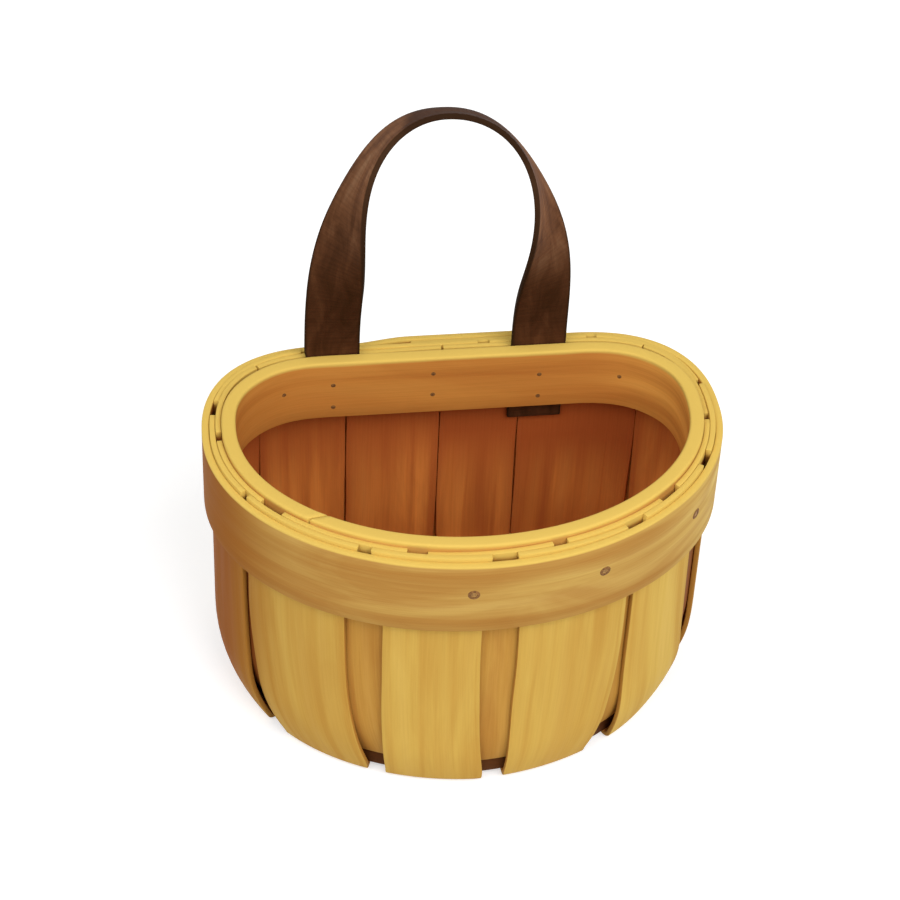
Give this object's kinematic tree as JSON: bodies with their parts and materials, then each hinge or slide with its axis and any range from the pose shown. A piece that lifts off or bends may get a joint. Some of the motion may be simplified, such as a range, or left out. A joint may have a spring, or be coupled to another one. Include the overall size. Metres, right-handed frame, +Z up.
{
  "type": "wall basket",
  "caption": "Half-round chip wood wall basket: bent staves nailed between an inner and an outer hoop, straight back, base board and a leather strap to hang it by.",
  "frame": {"origin": "on the surface the basket stands on, under the middle of its box", "axes": "+Z up, -Y out of the rounded front, +Y out of the straight back towards the wall, +X to the right seen from the front"},
  "size_m": [0.185, 0.121, 0.2285],
  "materials": {
    "hoop_wood": "satin",
    "inner_hoop_wood": "satin",
    "outer_stave_wood": "satin",
    "inner_stave_wood": "satin",
    "board_wood": "matte",
    "strap_leather": "satin",
    "nail_steel": "satin"
  },
  "bodies": {
    "basket": {"outer_hoop": "hoop_wood", "inner_hoop": "inner_hoop_wood", "base_board": "board_wood", "outer_stave_1": "outer_stave_wood", "outer_stave_2": "outer_stave_wood", "outer_stave_3": "outer_stave_wood", "outer_stave_4": "outer_stave_wood", "outer_stave_5": "outer_stave_wood", "outer_stave_6": "outer_stave_wood", "outer_stave_7": "outer_stave_wood", "outer_stave_8": "outer_stave_wood", "outer_stave_9": "outer_stave_wood", "outer_stave_10": "outer_stave_wood", "inner_stave_1": "inner_stave_wood", "inner_stave_2": "inner_stave_wood", "inner_stave_3": "inner_stave_wood", "inner_stave_4": "inner_stave_wood", "inner_stave_5": "inner_stave_wood", "inner_stave_6": "inner_stave_wood", "inner_stave_7": "inner_stave_wood", "inner_stave_8": "inner_stave_wood", "inner_stave_9": "inner_stave_wood", "inner_stave_10": "inner_stave_wood", "inner_stave_11": "inner_stave_wood", "strap_end_left": "strap_leather", "strap_end_right": "strap_leather", "rim_nail_1": "nail_steel", "rim_nail_2": "nail_steel", "rim_nail_3": "nail_steel", "rim_nail_4": "nail_steel", "rim_nail_5": "nail_steel", "rim_nail_6": "nail_steel", "rim_nail_7": "nail_steel", "back_nail_right": "nail_steel", "back_nail_left": "nail_steel", "lap_nail_lower": "nail_steel", "lap_nail_upper": "nail_steel", "strap_nail_left_lower": "nail_steel", "strap_nail_left_upper": "nail_steel", "strap_nail_right_lower": "nail_steel", "strap_nail_right_upper": "nail_steel", "base_tack_1": "nail_steel", "base_tack_2": "nail_steel", "base_tack_3": "nail_steel", "base_tack_4": "nail_steel", "base_tack_5": "nail_steel", "base_tack_6": "nail_steel", "base_tack_7": "nail_steel", "base_tack_8": "nail_steel", "base_tack_9": "nail_steel", "base_tack_10": "nail_steel"},
    "strap": {"strap_arch": "strap_leather"}
  },
  "joints": [
    {"name": "strap_fold", "type": "hinge", "parent": "basket", "child": "strap", "pos_m": [-0.0057, 0.0497, 0.1213], "axis": [1, 0, 0], "range_deg": [-75, 75], "stiffness_Nm_per_rad": 0.05}
  ]
}
